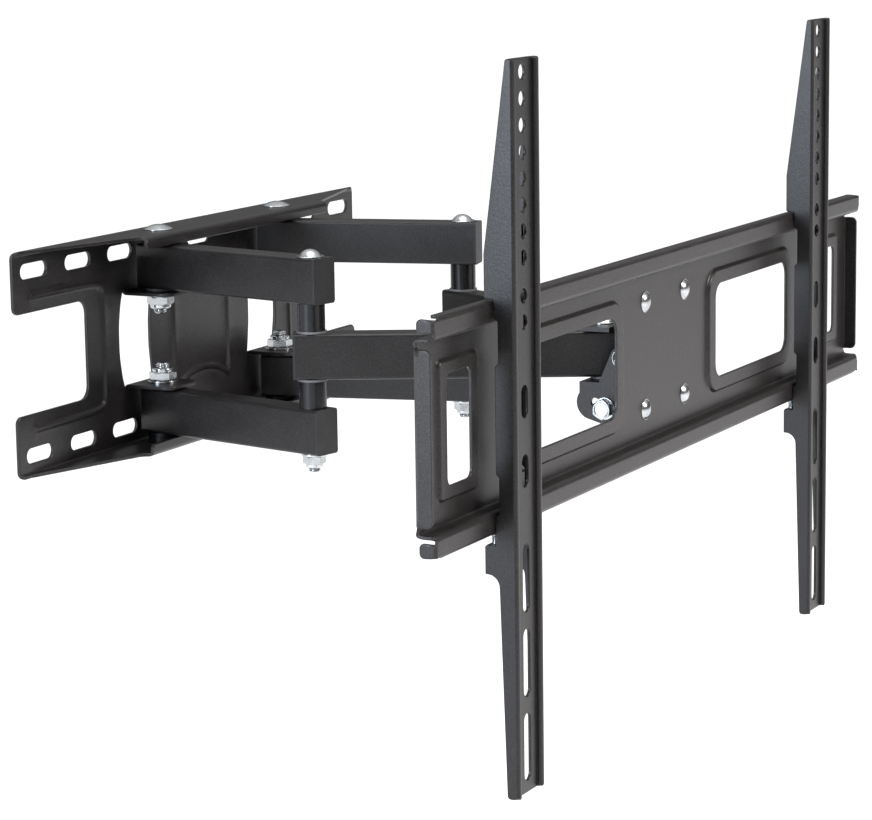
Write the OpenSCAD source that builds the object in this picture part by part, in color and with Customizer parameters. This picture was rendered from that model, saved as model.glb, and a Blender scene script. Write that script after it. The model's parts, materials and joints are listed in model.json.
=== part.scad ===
// Full motion wall mount for a flat television: wall plate, two folding arms,
// tilting head, screen plate and two upright screen brackets.
// X runs right along the wall, Y runs into the wall, Z is up.
// The origin is the centre of the wall plate's back face.

/* [Wall plate] */
// Width of the wall plate
wall_w = 454; // [430:2:480]
// Height of the wall plate
wall_h = 148; // [148:1:152]
// Thickness of the wall plate's sheet
wall_t = 2.5; // [2:0.5:2.5]
// Distance between neighbouring screw slots
slot_pitch = 50.8; // [46:0.1:52]
// Distance between the upper and lower slot rows
slot_rows = 120; // [112:1:122]
// Length of a screw slot, end to end
slot_len = 30; // [20:1:32]
// Width of a screw slot
slot_w = 10; // [7:0.5:11]
// Distance of an arm's wall pivot from the centre line
wall_pivot_x = 80; // [78:1:84]
// Distance of the wall pivots from the wall
wall_pivot_d = 20; // [19:0.5:22]

/* [Arms] */
// Height of an arm tube
tube_h = 30; // [29:0.5:30]
// Width of an arm tube
tube_w = 20; // [19:0.5:21]
// Wall thickness of an arm tube
tube_t = 1.8; // [1.5:0.1:2]
// Wall pivot to elbow pivot
rear_len = 138; // [132:1:145]
// Elbow pivot to head pivot
front_len = 190; // [185:1:200]
// Height of the middle of each rear tube above or below the centre
rear_z = 49.5; // [49.5:0.1:49.9]
// Angle of the rear arms away from straight out, as stored
rear_angle = 13; // [5:1:25]

/* [Head] */
// Distance of a head pivot from the centre line
head_pivot_x = 28; // [26:1:30]
// Head pivots to the back of the yoke's web
web_gap = 18; // [18:0.5:19]
// Head pivots to the front of the screen plate
screen_gap = 31; // [31:0.5:34]
// Half width of the swivel yoke over its ears
yoke_half = 50; // [50:1:54]

/* [Screen plate] */
// Width of the screen plate
plate_w = 710; // [690:2:730]
// Thickness of the screen plate's sheet
plate_t = 2; // [1.5:0.5:2]
// How far the rails stand forward of the panel
rail_depth = 11; // [10:0.5:12]

/* [Screen brackets] */
// Left bracket's hole row, from the centre line
left_row_x = -262; // [-320:1:-60]
// Right bracket's hole row, from the centre line
right_row_x = 229; // [60:1:320]
// Spacing of the round holes
hole_pitch = 15; // [12:0.5:15]
// Diameter of the round holes and width of the slots
hole_d = 8.6; // [6:0.1:9]

/* [Hidden] */
$fn = 48;

sheet_black = "#2b2b2e";
zinc = "#c9ccd0";
plastic = "#17171a";
over = 0.5;              // overshoot of a cutter past a face
slip = 0.05;             // gap between faces that turn on each other
run = 0.05;              // radial running clearance of a pivot

// arms, from the closed figure of wall, two arms and head
elbow_x = wall_pivot_x + rear_len * sin(rear_angle);
elbow_d = wall_pivot_d + rear_len * cos(rear_angle);
front_angle = asin((elbow_x - head_pivot_x) / front_len);
head_d = elbow_d + front_len * cos(front_angle);
tube_end = 12;           // pivot to the outside of an end cap
tube_r = 2;              // outer corner radius of a tube
cap_lip = 1.5;
cap_plug = 6;
cap_fit = 0.1;
wall_bolt_r = 5;
arm_bolt_r = 4;
bolt_fit = 0.1;          // radial room round a bolt that doesn't turn
bush_wall = 2;
open_bore_r = 8;         // room for the head bolt where the linkage is opened
elbow_spacer_r = 9;
slip_washer_t = 1.4;
steel_washer_t = 1.6;
rear_low = rear_z - tube_h / 2;
rear_high = rear_z + tube_h / 2;
front_high = tube_h / 2;

// wall plate
slot_columns = [-4, -3, -2, 0, 2, 3, 4];
corner_r = 6;
notch_x = 144;           // inner edge of the end notches
notch_half = 33;
notch_r = 9;
window_in = 62;
window_out = 100;
window_bulge = 4;
window_half = 33;
flange_run_out = 218;
flange_end_x = 126;
flange_end_d = 30;
flange_mid_x = 123;
flange_mid_d = 38;
flange_lip_h = 6;
flange_z = wall_h / 2 - wall_t;
tab_z = 30.5;            // inner face of the pivot tabs
tab_in = 63;
tab_out = 99;
tab_d = 39;
wall_nut_h = 8.4;

// head
yoke_t = 3;
yoke_z = front_high + slip_washer_t + 2 * slip;
yoke_rear = 8;           // yoke plates behind the head pivots
yoke_wide_d = 13;        // and their full width in front of them
yoke_waist = 43;         // half width beside the tilt bracket's ears
web_back_d = head_d + web_gap;
screen_d = head_d + screen_gap;
panel_back_d = screen_d - plate_t;
tilt_base_t = 2.5;
tilt_base_half = 46;
tilt_pivot_gap = 8;      // tilt pivots behind the screen plate
tilt_pivot_d = panel_back_d - tilt_pivot_gap;
lock_back = 11;          // lock bolt behind the tilt pivot
lock_drop = 33;          // lock bolt below the tilt pivot
lock_r = sqrt(lock_back * lock_back + lock_drop * lock_drop);
lock_angle = atan2(-lock_drop, lock_back);
slot_down_angle = 13;    // slot room for tilting the screen down
slot_up_angle = 4;       // and up
tilt_bolt_r = 3;
lock_bolt_r = 3;
ear_t = 2.5;
ear_gap = 0.4;
ear_out_x = yoke_half - yoke_t - ear_gap;
carriage_x = 33;
carriage_z = 35;
carriage_r = 3;

// screen plate
panel_half = 54;
rail_half = 68;
rail_lip = 7;
rail_tab_h = 10;         // tab closing the end of a rail
end_flange_d = 9;
end_flange_half = 50;
big_window_in = 84;
big_window_out = 221;
end_window_in = 291;
end_window_out = 322;
plate_window_half = 32;

// screen bracket, across from its hole row and forward of the screen plate
channel_left = -18.5;
channel_right = 17.5;
channel_t = 2;
web_front = 22;
edge_front = 25;
rail_clear = 0.4;
bracket_top = 204;
bracket_bottom = -224;
first_hole_z = 196;
round_holes = concat([for (k = [0:7]) first_hole_z - k * hole_pitch], [69, 54]);
short_slots = [8, -32.5];
short_slot_len = 19;
long_slots = [-95.5, -146, -196.5];
long_slot_len = 40.5;
tab_shelf_z = -74;
shelf_front = 14;
screw_x = -10;
screw_d = 7.5;
screw_r = 2.5;
screw_top = -rail_half - 0.3;
screw_head_z = tab_shelf_z - channel_t - 9;

// ---------------------------------------------------------------- helpers

// a place given by x, distance out from the wall, and height
module at(x, d, z = 0) {
    translate([x, -d, z]) children();
}

// one side of the mount: 1 is right, -1 is left
module side(s) {
    mirror([s < 0 ? 1 : 0, 0, 0]) children();
}

module both_sides() {
    for (s = [-1, 1]) side(s) children();
}

module both_levels() {
    for (k = [0, 1]) mirror([0, 0, k]) children();
}

// upright ring from z0 to z1
module ring(r_out, r_in, z0, z1) {
    translate([0, 0, z0]) difference() {
        cylinder(r = r_out, h = z1 - z0);
        translate([0, 0, -over]) cylinder(r = r_in, h = z1 - z0 + 2 * over);
    }
}

// hexagonal nut or head standing on z0
module hexagon(across, bore_r, h, z0) {
    translate([0, 0, z0]) difference() {
        intersection() {
            cylinder(r = across / 2 / cos(30), h = h, $fn = 6);
            cylinder(r = across / 2 * 1.1, h = h);
        }
        if (bore_r > 0) translate([0, 0, -over]) cylinder(r = bore_r, h = h + 2 * over);
    }
}

// domed head standing on z0
module dome(r, h, z0) {
    ball_r = (r * r + h * h) / (2 * h);
    translate([0, 0, z0]) intersection() {
        cylinder(r = r, h = h);
        translate([0, 0, h - ball_r]) sphere(r = ball_r);
    }
}

// carriage bolt with its head on z_head and its end at z_end
module carriage_bolt(r, z_head, z_end, head_r, head_h) {
    dome(head_r, head_h, z_head);
    translate([0, 0, z_end]) cylinder(r = r, h = z_head - z_end);
}

module rounded(w, h, r) {
    offset(r = r) square([w - 2 * r, h - 2 * r], center = true);
}

// sheet standing in XZ, between two distances from the wall
module upright_sheet(d_back, d_front) {
    translate([0, -d_back, 0]) rotate([90, 0, 0]) linear_extrude(d_front - d_back) children();
}

// sheet standing in YZ, drawn as [distance from the wall, height]
module side_sheet(x0, x1) {
    translate([x0, 0, 0]) rotate([90, 0, 90]) linear_extrude(x1 - x0) mirror([1, 0, 0]) children();
}

// slot cutter running along Y, long way along X or Z
module slot_cut(length, width, along_z = false) {
    rotate([90, along_z ? 90 : 0, 0]) translate([0, 0, -20]) {
        for (s = [-1, 1]) translate([s * (length - width) / 2, 0, 0]) cylinder(r = width / 2, h = 40);
        translate([-(length - width) / 2, -width / 2, 0]) cube([length - width, width, 40]);
    }
}

// ---------------------------------------------------------------- wall plate

module pivot_window() {
    offset(r = 4) offset(delta = -4) polygon([
        [window_in + 3, window_half - 6],
        [window_out - 6, window_half],
        [window_out - 1, window_half / 2],
        [window_out + window_bulge, 0],
        [window_out - 1, -window_half / 2],
        [window_out - 6, -window_half],
        [window_in + 3, -window_half + 6],
        [window_in, 0]
    ]);
}

module wall_face() {
    notch_w = wall_w / 2 - notch_x + 2 * notch_r;
    upright_sheet(0, wall_t) difference() {
        rounded(wall_w, wall_h, corner_r);
        for (s = [-1, 1]) {
            translate([s * (notch_x + notch_w / 2), 0]) rounded(notch_w, 2 * notch_half, notch_r);
            scale([s, 1]) pivot_window();
        }
    }
}

// top flange: runs out to the ends, deep and lipped over the pivots
module wall_flange() {
    translate([0, 0, flange_z]) linear_extrude(wall_t) polygon([
        [-flange_run_out, 0], [flange_run_out, 0],
        [flange_run_out, -wall_t], [flange_end_x, -flange_end_d],
        [flange_mid_x, -flange_mid_d], [-flange_mid_x, -flange_mid_d],
        [-flange_end_x, -flange_end_d], [-flange_run_out, -wall_t]
    ]);
    translate([-flange_mid_x, -flange_mid_d, wall_h / 2 - flange_lip_h - wall_t])
        cube([2 * flange_mid_x, wall_t, flange_lip_h + wall_t]);
}

module pivot_tab() {
    translate([0, 0, tab_z]) linear_extrude(wall_t) translate([(tab_in + tab_out) / 2, -tab_d / 2])
        offset(r = 6) square([tab_out - tab_in - 12, tab_d - 12], center = true);
    translate([tab_in, -tab_d / 2, tab_z]) cube([tab_out - tab_in, tab_d / 2, wall_t]);
}

module wall_plate() {
    color(sheet_black) difference() {
        union() {
            wall_face();
            both_levels() {
                wall_flange();
                both_sides() pivot_tab();
            }
        }
        for (c = slot_columns, s = [-1, 1])
            at(c * slot_pitch, 0, s * slot_rows / 2) slot_cut(slot_len, slot_w);
        both_sides() at(wall_pivot_x, wall_pivot_d, -wall_h)
            cylinder(r = wall_bolt_r + bolt_fit, h = 2 * wall_h);
    }
}

module at_wall_pivots() {
    both_sides() both_levels() at(wall_pivot_x, wall_pivot_d) children();
}

module wall_pivot_bolts() {
    color(zinc) at_wall_pivots() carriage_bolt(wall_bolt_r, wall_h / 2, 17, 11, 5);
}

module wall_pivot_nuts() {
    nut_z = tab_z - steel_washer_t - wall_nut_h;
    color(zinc) at_wall_pivots() hexagon(16, wall_bolt_r, wall_nut_h, nut_z);
}

module wall_pivot_washers() {
    color(zinc) at_wall_pivots() ring(10.5, wall_bolt_r + bolt_fit, tab_z - steel_washer_t, tab_z);
}

// hard spacers between the outer flanges and the rear tubes
module wall_pivot_spacers() {
    color(plastic) at_wall_pivots() ring(11, wall_bolt_r + bolt_fit, rear_high + slip, flange_z);
}

// slip washers between the pivot tabs and the rear tubes
module wall_slip_washers() {
    color(plastic) at_wall_pivots() ring(10, wall_bolt_r + bolt_fit, tab_z + wall_t, rear_low - slip);
}

// ---------------------------------------------------------------- arms

// child is drawn from the wall pivot, with X along the rear arm
module rear_arm(s) {
    side(s) at(wall_pivot_x, wall_pivot_d) rotate([0, 0, rear_angle - 90]) children();
}

// child is drawn from the elbow, with X along the front arm
module front_arm(s) {
    side(s) at(elbow_x, elbow_d) rotate([0, 0, -90 - front_angle]) children();
}

// square tube with an upright hole at each pivot
module tube(length, start_hole_r, end_hole_r) {
    bare_end = tube_end - cap_lip;
    difference() {
        translate([-bare_end, 0, 0]) rotate([90, 0, 90]) linear_extrude(length + 2 * bare_end) difference() {
            rounded(tube_w, tube_h, tube_r);
            square([tube_w - 2 * tube_t, tube_h - 2 * tube_t], center = true);
        }
        translate([0, 0, -tube_h]) cylinder(r = start_hole_r, h = 2 * tube_h);
        translate([length, 0, -tube_h]) cylinder(r = end_hole_r, h = 2 * tube_h);
    }
}

// plastic plug with a flat lip, closing the tube end behind the pivot
module end_cap(bore_r) {
    bare_end = tube_end - cap_lip;
    inner_w = tube_w - 2 * tube_t - 2 * cap_fit;
    inner_h = tube_h - 2 * tube_t - 2 * cap_fit;
    translate([-tube_end, 0, 0]) rotate([90, 0, 90]) linear_extrude(cap_lip) rounded(tube_w, tube_h, tube_r);
    difference() {
        translate([-bare_end, -inner_w / 2, -inner_h / 2]) cube([cap_plug, inner_w, inner_h]);
        translate([0, 0, -tube_h]) cylinder(r = bore_r, h = 2 * tube_h);
    }
}

module end_caps(length, start_bore_r, end_bore_r) {
    end_cap(start_bore_r);
    translate([length, 0, 0]) mirror([1, 0, 0]) end_cap(end_bore_r);
}

module bush(bolt_r) {
    ring(bolt_r + run + bush_wall, bolt_r + run, -tube_h / 2, tube_h / 2);
}

wall_bush_r = wall_bolt_r + run + bush_wall;
arm_bush_r = arm_bolt_r + run + bush_wall;

module rear_tube(s, level) {
    color(sheet_black) rear_arm(s) translate([0, 0, level * rear_z])
        tube(rear_len, wall_bush_r, arm_bolt_r + bolt_fit);
}

module rear_end_caps(s) {
    color(plastic) rear_arm(s) for (k = [-1, 1]) translate([0, 0, k * rear_z])
        end_caps(rear_len, wall_bush_r + cap_fit, arm_bolt_r + 2 * bolt_fit);
}

module rear_bushes(s) {
    color(plastic) rear_arm(s) for (k = [-1, 1]) translate([0, 0, k * rear_z]) bush(wall_bolt_r);
}

module elbow_bolt(s) {
    color(zinc) rear_arm(s) translate([rear_len, 0, 0])
        carriage_bolt(arm_bolt_r, rear_high, -rear_high - steel_washer_t - 11, 9.4, 4.6);
}

module elbow_nut(s) {
    color(zinc) rear_arm(s) translate([rear_len, 0, 0]) {
        ring(8.5, arm_bolt_r, -rear_high - steel_washer_t, -rear_high);
        hexagon(13, arm_bolt_r, 8, -rear_high - steel_washer_t - 8);
    }
}

module elbow_spacers(s) {
    color(sheet_black) rear_arm(s) translate([rear_len, 0, 0]) both_levels()
        ring(elbow_spacer_r, arm_bolt_r, front_high + slip_washer_t + slip, rear_low);
}

module elbow_slip_washers(s) {
    color(plastic) rear_arm(s) translate([rear_len, 0, 0]) both_levels()
        ring(elbow_spacer_r + 1, arm_bolt_r, front_high + slip, front_high + slip_washer_t + slip);
}

// the right tube is opened at its head pivot, where the linkage closes
module front_tube(s) {
    color(sheet_black) front_arm(s) tube(front_len, arm_bush_r, s > 0 ? open_bore_r : arm_bush_r);
}

module front_end_caps(s) {
    color(plastic) front_arm(s)
        end_caps(front_len, arm_bush_r + cap_fit, (s > 0 ? open_bore_r : arm_bush_r) + cap_fit);
}

module left_front_bushes() {
    color(plastic) front_arm(-1) for (x = [0, front_len]) translate([x, 0, 0]) bush(arm_bolt_r);
}

module right_front_bush() {
    color(plastic) front_arm(1) bush(arm_bolt_r);
}

// ---------------------------------------------------------------- head

// ear of the yoke: from under the lower plate forward to the tilt pivot
module yoke_ear_outline() {
    rear = head_d - yoke_rear;
    hull() {
        translate([tilt_pivot_d, 0]) circle(r = 7.5);
        translate([tilt_pivot_d - lock_back, -lock_drop]) circle(r = 10.5);
        translate([head_d + yoke_wide_d, -yoke_z - 1]) square(1);
    }
    hull() {
        translate([rear + 9, -lock_drop + 3]) circle(r = 11);
        translate([tilt_pivot_d - lock_back, -lock_drop]) circle(r = 10.5);
        translate([rear + 2, -yoke_z - 7]) square([20, 1]);
    }
    translate([rear, -yoke_z - 7]) square([yoke_rear + yoke_wide_d + 1, 7]);
}

module arc_slot_cut() {
    rotate([90, 0, 90]) translate([0, 0, -yoke_half * 1.2]) {
        rotate([0, 0, lock_angle - slot_up_angle])
            rotate_extrude(angle = slot_up_angle + slot_down_angle)
                translate([lock_r - lock_bolt_r - bolt_fit, 0])
                    square([2 * (lock_bolt_r + bolt_fit), yoke_half * 2.4]);
        for (a = [-slot_up_angle, slot_down_angle])
            rotate([0, 0, lock_angle + a]) translate([lock_r, 0, 0])
                cylinder(r = lock_bolt_r + bolt_fit, h = yoke_half * 2.4);
    }
}

// upper or lower plate of the yoke, narrow in front to pass the tilt ears
module yoke_plate_outline() {
    rear = head_d - yoke_rear;
    wide = head_d + yoke_wide_d;
    front = web_back_d + yoke_t;
    polygon([
        [-yoke_half, -rear], [yoke_half, -rear], [yoke_half, -wide], [yoke_waist, -wide],
        [yoke_waist, -front], [-yoke_waist, -front], [-yoke_waist, -wide], [-yoke_half, -wide]
    ]);
}

module swivel_yoke() {
    color(sheet_black) difference() {
        union() {
            both_levels() translate([0, 0, yoke_z]) linear_extrude(yoke_t) yoke_plate_outline();
            upright_sheet(web_back_d, web_back_d + yoke_t)
                square([2 * yoke_waist, 2 * (yoke_z + yoke_t)], center = true);
            both_sides() side_sheet(yoke_half - yoke_t, yoke_half) yoke_ear_outline();
        }
        both_sides() at(head_pivot_x, head_d, -tube_h) cylinder(r = arm_bolt_r, h = 2 * tube_h);
        both_sides() at(yoke_waist, tilt_pivot_d) rotate([0, 90, 0]) cylinder(r = tilt_bolt_r + run, h = yoke_half);
        at(0, tilt_pivot_d) arc_slot_cut();
    }
}

module head_pivot_bolts() {
    top = yoke_z + yoke_t;
    color(zinc) both_sides() at(head_pivot_x, head_d)
        carriage_bolt(arm_bolt_r, top, -top - steel_washer_t - 10, 9.4, 4.6);
}

module head_pivot_nuts() {
    low = yoke_z + yoke_t;
    color(zinc) both_sides() at(head_pivot_x, head_d) {
        ring(8.5, arm_bolt_r, -low - steel_washer_t, -low);
        hexagon(13, arm_bolt_r, 7, -low - steel_washer_t - 7);
    }
}

module head_slip_washers() {
    color(zinc) both_sides() at(head_pivot_x, head_d) both_levels()
        ring(9, arm_bolt_r, front_high + slip, yoke_z);
}

// ears of the tilt bracket, inside the yoke's ears
module tilt_ear_outline() {
    base_d = panel_back_d - tilt_base_t;
    hull() {
        translate([tilt_pivot_d, 0]) circle(r = 6);
        translate([base_d, -30]) square([tilt_base_t, 42]);
        translate([tilt_pivot_d - 3, -30]) square(1);
    }
    hull() {
        translate([tilt_pivot_d - lock_back, -lock_drop - 1]) circle(r = 7);
        translate([base_d, -42]) square([tilt_base_t, 15]);
    }
}

module tilt_bracket() {
    base_top = 46;
    base_bottom = -46;
    color(sheet_black) difference() {
        union() {
            upright_sheet(panel_back_d - tilt_base_t, panel_back_d)
                translate([0, (base_top + base_bottom) / 2])
                    rounded(2 * tilt_base_half, base_top - base_bottom, 5);
            both_sides() side_sheet(ear_out_x - ear_t, ear_out_x) tilt_ear_outline();
        }
        carriage_holes();
        at(0, tilt_pivot_d) rotate([0, 90, 0]) cylinder(r = tilt_bolt_r, h = 3 * yoke_half, center = true);
        at(0, tilt_pivot_d - lock_back, -lock_drop)
            rotate([0, 90, 0]) cylinder(r = lock_bolt_r, h = 3 * yoke_half, center = true);
    }
}

module carriage_holes() {
    for (x = [-1, 1], z = [-1, 1]) at(x * carriage_x, screen_d + 10, z * carriage_z)
        rotate([-90, 0, 0]) cylinder(r = carriage_r + bolt_fit, h = 30);
}

// short pivot bolts: rounded head outside the yoke's ear, held by the tilt ear
module tilt_pivot_bolts() {
    inner_end = ear_out_x - ear_t - 0.5;
    color(zinc) both_sides() at(0, tilt_pivot_d) rotate([0, 90, 0]) {
        translate([0, 0, inner_end]) cylinder(r = tilt_bolt_r, h = yoke_half + slip - inner_end);
        dome(6, 3, yoke_half + slip);
    }
}

module at_lock_bolts() {
    both_sides() at(0, tilt_pivot_d - lock_back, -lock_drop) rotate([0, 90, 0]) children();
}

module tilt_lock_bolts() {
    head_z = yoke_half + slip + steel_washer_t;
    nut_z = ear_out_x - ear_t - 7;
    color(zinc) at_lock_bolts() {
        translate([0, 0, nut_z]) cylinder(r = lock_bolt_r, h = head_z - nut_z);
        hexagon(12, 0, 5, head_z);
    }
}

module tilt_lock_nuts() {
    color(zinc) at_lock_bolts() hexagon(10, lock_bolt_r, 5, ear_out_x - ear_t - 5);
}

module tilt_lock_washers() {
    color(zinc) at_lock_bolts() ring(8, lock_bolt_r, yoke_half + slip, yoke_half + slip + steel_washer_t);
}

// ---------------------------------------------------------------- screen plate

// upper half of the panel with its rail, drawn as [distance in front of the panel, height]
module plate_section() {
    polygon([
        [-plate_t, 0], [-plate_t, panel_half + plate_t],
        [rail_depth - plate_t, panel_half + plate_t], [rail_depth - plate_t, rail_half - plate_t],
        [rail_depth - rail_lip, rail_half - plate_t], [rail_depth - rail_lip, rail_half],
        [rail_depth, rail_half], [rail_depth, panel_half], [0, panel_half], [0, 0]
    ]);
}

// half of an end: flange beside the panel and the closed end of the rail
module plate_end_section() {
    translate([-plate_t, 0]) square([end_flange_d + plate_t, end_flange_half]);
    translate([0, rail_half - 1 - rail_tab_h]) square([rail_depth, rail_tab_h]);
}

module plate_windows() {
    big = big_window_out - big_window_in;
    small = end_window_out - end_window_in;
    for (s = [-1, 1]) {
        translate([s * (big_window_in + big_window_out) / 2, 0]) rounded(big, 2 * plate_window_half, 10);
        translate([s * (end_window_in + end_window_out) / 2, 0]) rounded(small, 2 * plate_window_half, 5);
    }
}

module screen_plate() {
    half = plate_w / 2;
    color(sheet_black) difference() {
        both_levels() {
            side_sheet(-half, half) translate([screen_d, 0]) plate_section();
            both_sides() side_sheet(half - plate_t, half) translate([screen_d, 0]) plate_end_section();
        }
        upright_sheet(panel_back_d - over, screen_d + over) plate_windows();
        carriage_holes();
    }
}

module plate_carriage_bolts() {
    color(zinc) for (x = [-1, 1], z = [-1, 1]) at(x * carriage_x, screen_d, z * carriage_z) rotate([90, 0, 0])
        carriage_bolt(carriage_r, 0, -12, 6.9, 3.3);
}

module plate_carriage_nuts() {
    color(zinc) for (x = [-1, 1], z = [-1, 1]) at(x * carriage_x, screen_d, z * carriage_z) rotate([90, 0, 0])
        hexagon(10, carriage_r, 5, -plate_t - tilt_base_t - 5);
}

// ---------------------------------------------------------------- screen brackets

// side wall of a bracket: hooked over the top rail, tab under the bottom rail
module bracket_side_outline() {
    seat = rail_depth + rail_clear;
    hook_z = rail_half + 0.6;
    difference() {
        polygon([
            [edge_front, bracket_bottom + 4], [edge_front - 4, bracket_bottom], [20.5, bracket_bottom],
            [17, bracket_bottom + 4], [13.5, -98], [4.5, -90],
            [4.5, tab_shelf_z], [seat, tab_shelf_z], [seat, -57], [seat + 2.5, -55], [seat + 2.5, -34],
            [seat + 0.5, -32], [seat + 0.5, 30], [seat + 2.5, 32], [seat + 2.5, 56], [seat, 58],
            [seat, hook_z], [5.5, hook_z], [5.5, 94], [20, bracket_top], [edge_front - 1, bracket_top],
            [edge_front, bracket_top - 1]
        ]);
        translate([6, -98.5]) circle(r = 7.5);
    }
}

module bracket_holes() {
    for (z = round_holes) translate([0, 0, z]) rotate([90, 0, 0]) cylinder(r = hole_d / 2, h = 40, center = true);
    for (z = short_slots) translate([0, 0, z]) slot_cut(short_slot_len, hole_d, true);
    for (z = long_slots) translate([0, 0, z]) slot_cut(long_slot_len, hole_d, true);
}

module screen_bracket(row_x) {
    inner_w = channel_right - channel_left - 2;
    color(sheet_black) translate([row_x, 0, 0]) difference() {
        union() {
            for (x = [channel_left, channel_right - channel_t])
                side_sheet(x, x + channel_t) translate([screen_d, 0]) bracket_side_outline();
            at(channel_left + 1, screen_d + web_front, bracket_bottom + 2)
                cube([inner_w, channel_t, bracket_top - bracket_bottom - 3]);
            at(channel_left + 1, screen_d + shelf_front, tab_shelf_z - channel_t)
                cube([16, shelf_front - 4.5, channel_t]);
        }
        at(0, screen_d + web_front) bracket_holes();
        at(screw_x, screen_d + screw_d, tab_shelf_z - 10) cylinder(r = screw_r + run, h = 20);
    }
}

module lock_screw(row_x) {
    color(zinc) at(row_x + screw_x, screen_d + screw_d) {
        translate([0, 0, screw_head_z]) cylinder(r = screw_r, h = screw_top - screw_head_z);
        translate([0, 0, screw_head_z - 4]) cylinder(r = 4.5, h = 4);
    }
}

module left_screen_bracket() {
    screen_bracket(left_row_x);
}

module right_screen_bracket() {
    screen_bracket(right_row_x);
}

wall_plate();
wall_pivot_bolts();
wall_pivot_nuts();
wall_pivot_washers();
wall_pivot_spacers();
wall_slip_washers();
rear_tube(-1, 1);  // left_rear_upper_tube
rear_tube(-1, -1);  // left_rear_lower_tube
rear_end_caps(-1);  // left_rear_end_caps
rear_bushes(-1);  // left_rear_bushes
elbow_bolt(-1);  // left_elbow_bolt
elbow_nut(-1);  // left_elbow_nut
elbow_spacers(-1);  // left_elbow_spacers
elbow_slip_washers(-1);  // left_elbow_slip_washers
rear_tube(1, 1);  // right_rear_upper_tube
rear_tube(1, -1);  // right_rear_lower_tube
rear_end_caps(1);  // right_rear_end_caps
rear_bushes(1);  // right_rear_bushes
elbow_bolt(1);  // right_elbow_bolt
elbow_nut(1);  // right_elbow_nut
elbow_spacers(1);  // right_elbow_spacers
elbow_slip_washers(1);  // right_elbow_slip_washers
front_tube(-1);  // left_front_tube
front_end_caps(-1);  // left_front_end_caps
left_front_bushes();
front_tube(1);  // right_front_tube
front_end_caps(1);  // right_front_end_caps
right_front_bush();
swivel_yoke();
head_pivot_bolts();
head_pivot_nuts();
head_slip_washers();
tilt_bracket();
tilt_pivot_bolts();
tilt_lock_bolts();
tilt_lock_nuts();
tilt_lock_washers();
screen_plate();
plate_carriage_bolts();
plate_carriage_nuts();
left_screen_bracket();
lock_screw(left_row_x);  // left_lock_screw
right_screen_bracket();
lock_screw(right_row_x);  // right_lock_screw
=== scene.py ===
import json
import math

import bpy
import numpy as np
from mathutils import Matrix, Vector
from mathutils.geometry import delaunay_2d_cdt

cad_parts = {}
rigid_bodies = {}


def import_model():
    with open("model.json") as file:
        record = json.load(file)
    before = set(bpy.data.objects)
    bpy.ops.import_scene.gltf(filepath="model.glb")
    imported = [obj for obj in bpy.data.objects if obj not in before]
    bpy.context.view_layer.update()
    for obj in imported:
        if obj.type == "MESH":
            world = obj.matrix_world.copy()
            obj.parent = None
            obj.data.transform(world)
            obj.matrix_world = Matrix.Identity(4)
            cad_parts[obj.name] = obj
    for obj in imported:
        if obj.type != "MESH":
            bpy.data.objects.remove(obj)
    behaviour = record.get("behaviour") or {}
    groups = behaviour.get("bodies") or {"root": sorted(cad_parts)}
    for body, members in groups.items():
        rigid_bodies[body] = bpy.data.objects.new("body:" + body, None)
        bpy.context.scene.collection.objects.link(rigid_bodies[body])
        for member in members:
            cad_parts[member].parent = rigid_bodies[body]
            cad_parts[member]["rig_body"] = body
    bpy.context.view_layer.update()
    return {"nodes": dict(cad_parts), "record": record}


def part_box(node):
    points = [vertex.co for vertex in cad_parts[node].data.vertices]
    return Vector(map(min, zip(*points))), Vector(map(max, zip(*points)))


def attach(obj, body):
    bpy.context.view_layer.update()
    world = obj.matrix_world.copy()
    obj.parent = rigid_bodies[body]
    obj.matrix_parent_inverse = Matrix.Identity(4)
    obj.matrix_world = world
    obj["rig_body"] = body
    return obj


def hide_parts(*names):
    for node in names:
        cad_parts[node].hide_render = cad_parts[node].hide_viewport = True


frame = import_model()

MM = 0.001

# ------------------------------------------------------------------ materials


def material(name, base, roughness, metallic=0.0, specular=0.5):
    mat = bpy.data.materials.new(name)
    mat.use_nodes = True
    nodes, links = mat.node_tree.nodes, mat.node_tree.links
    shader = nodes["Principled BSDF"]
    shader.inputs["Base Color"].default_value = (*base, 1)
    shader.inputs["Roughness"].default_value = roughness
    shader.inputs["Metallic"].default_value = metallic
    shader.inputs["Specular IOR Level"].default_value = specular
    coord = nodes.new("ShaderNodeTexCoord")
    return mat, nodes, links, shader, coord


def noise(nodes, links, coord, scale, detail=3.0, rough=0.55):
    tex = nodes.new("ShaderNodeTexNoise")
    tex.inputs["Scale"].default_value = scale
    tex.inputs["Detail"].default_value = detail
    tex.inputs["Roughness"].default_value = rough
    links.new(coord.outputs["Object"], tex.inputs["Vector"])
    return tex


def ramp(nodes, links, source, stops):
    node = nodes.new("ShaderNodeValToRGB")
    node.color_ramp.elements[0].position = stops[0][0]
    node.color_ramp.elements[0].color = (*stops[0][1], 1)
    node.color_ramp.elements[1].position = stops[-1][0]
    node.color_ramp.elements[1].color = (*stops[-1][1], 1)
    for pos, col in stops[1:-1]:
        node.color_ramp.elements.new(pos).color = (*col, 1)
    links.new(source, node.inputs["Fac"])
    return node


def to_range(nodes, links, source, low, high):
    node = nodes.new("ShaderNodeMapRange")
    node.inputs["To Min"].default_value = low
    node.inputs["To Max"].default_value = high
    links.new(source, node.inputs["Value"])
    return node


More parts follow.
